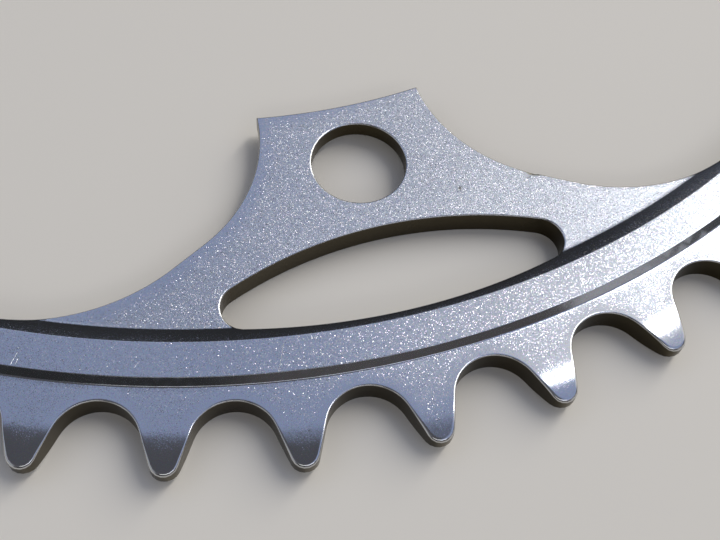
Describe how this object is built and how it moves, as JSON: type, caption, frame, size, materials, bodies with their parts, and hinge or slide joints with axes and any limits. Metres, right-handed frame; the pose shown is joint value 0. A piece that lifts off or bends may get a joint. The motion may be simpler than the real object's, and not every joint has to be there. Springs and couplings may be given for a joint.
{
  "type": "bicycle chainring",
  "caption": "Flat toothed ring that bolts to a crank's spider and drives a bicycle chain, with a raised rim and slotted tabs that reach inwards to the bolt holes.",
  "frame": {"origin": "centre of the ring on its flat back face", "axes": "+Z along the ring's axis, out of the stepped front face; one tab lies on the -Y axis"},
  "size_m": [0.2074, 0.2078, 0.0037],
  "materials": {
    "anodised_aluminium": "satin, blasted and silver anodised"
  },
  "bodies": {
    "root": {"chainring": "anodised_aluminium"}
  },
  "joints": []
}
